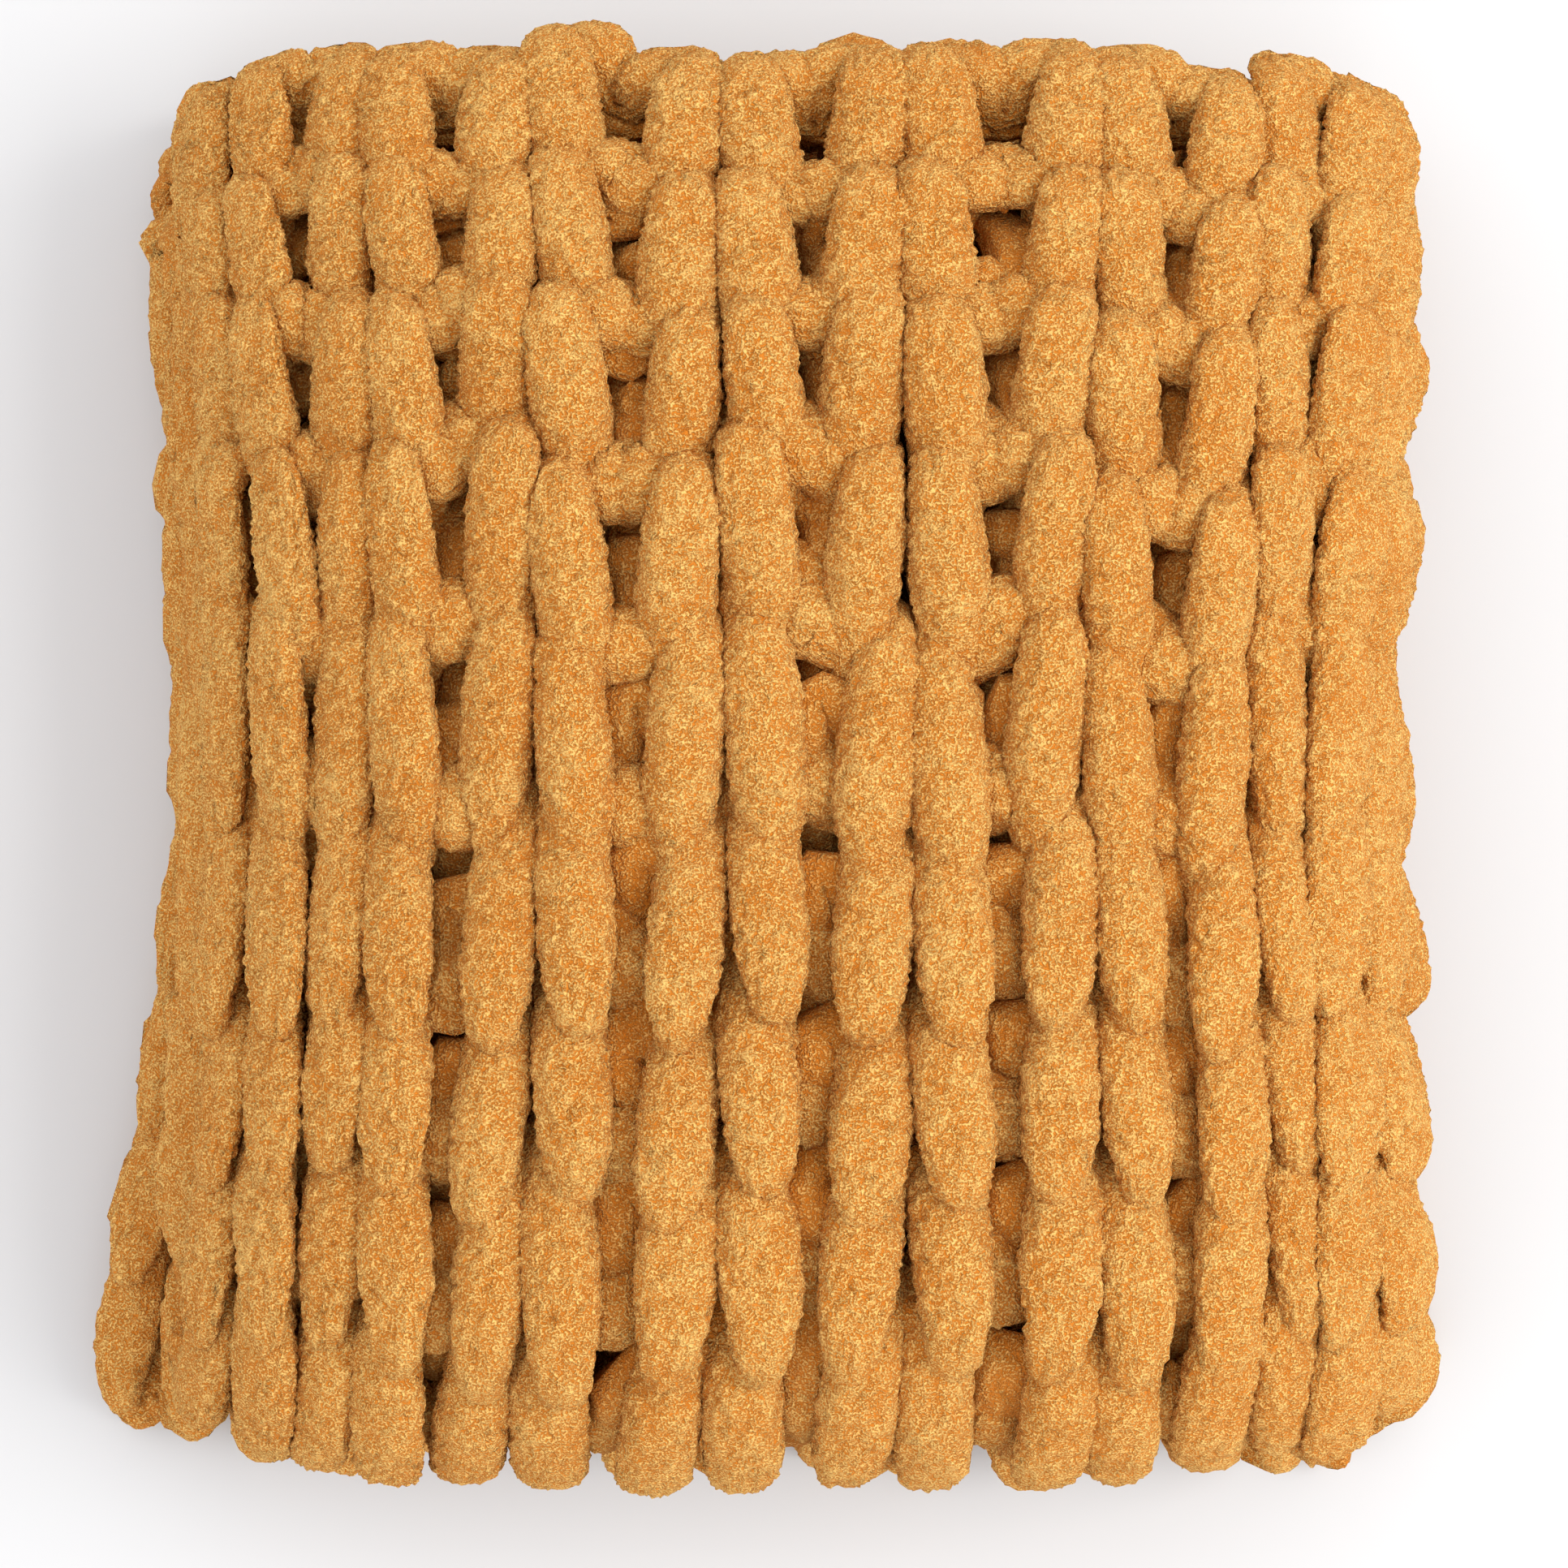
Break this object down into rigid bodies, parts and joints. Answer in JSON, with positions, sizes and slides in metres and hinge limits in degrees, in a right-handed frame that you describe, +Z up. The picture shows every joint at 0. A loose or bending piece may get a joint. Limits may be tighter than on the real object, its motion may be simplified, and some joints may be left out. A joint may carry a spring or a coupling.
{
  "type": "folded throw blanket",
  "caption": "Chunky hand-knit chenille throw, folded in half and then in thirds into a soft pile that lies flat and can be opened out.",
  "frame": {"origin": "middle of the pile's footprint, on the floor", "axes": "+Z up; +Y towards the back end fold, which is also the side of the top layer's free end; +X towards the side fold, with the open selvedges at -X"},
  "size_m": [0.402, 0.4286, 0.1618],
  "materials": {
    "chenille_yarn": "matt cut-pile chenille, orange-brown"
  },
  "bodies": {
    "lower_third": {"bind_off_edge": "chenille_yarn", "knit_course_27": "chenille_yarn", "knit_course_26": "chenille_yarn", "knit_course_25": "chenille_yarn", "knit_course_24": "chenille_yarn", "knit_course_23": "chenille_yarn", "knit_course_22": "chenille_yarn", "knit_course_21": "chenille_yarn", "knit_course_20": "chenille_yarn", "knit_course_19": "chenille_yarn"},
    "middle_third": {"knit_course_18": "chenille_yarn", "knit_course_17": "chenille_yarn", "knit_course_16": "chenille_yarn", "knit_course_15": "chenille_yarn", "knit_course_14": "chenille_yarn", "knit_course_13": "chenille_yarn", "knit_course_12": "chenille_yarn", "knit_course_11": "chenille_yarn", "knit_course_10": "chenille_yarn"},
    "top_third": {"knit_course_09": "chenille_yarn", "knit_course_08": "chenille_yarn", "knit_course_07": "chenille_yarn", "knit_course_06": "chenille_yarn", "knit_course_05": "chenille_yarn", "knit_course_04": "chenille_yarn", "knit_course_03": "chenille_yarn", "knit_course_02": "chenille_yarn", "knit_course_01": "chenille_yarn", "cast_on_edge": "chenille_yarn"}
  },
  "joints": [
    {"name": "back_fold", "type": "hinge", "parent": "lower_third", "child": "middle_third", "pos_m": [0, 0.1845, 0.054], "axis": [-1, 0, 0], "range_deg": [0, 180], "deforming": ["knit_course_19", "knit_course_18"]},
    {"name": "front_fold", "type": "hinge", "parent": "middle_third", "child": "top_third", "pos_m": [0, -0.1845, 0.108], "axis": [1, 0, 0], "range_deg": [0, 180], "deforming": ["knit_course_10", "knit_course_09"]}
  ],
  "couplings": [
    {"joint": "front_fold", "follows": "back_fold", "ratio": 1}
  ]
}
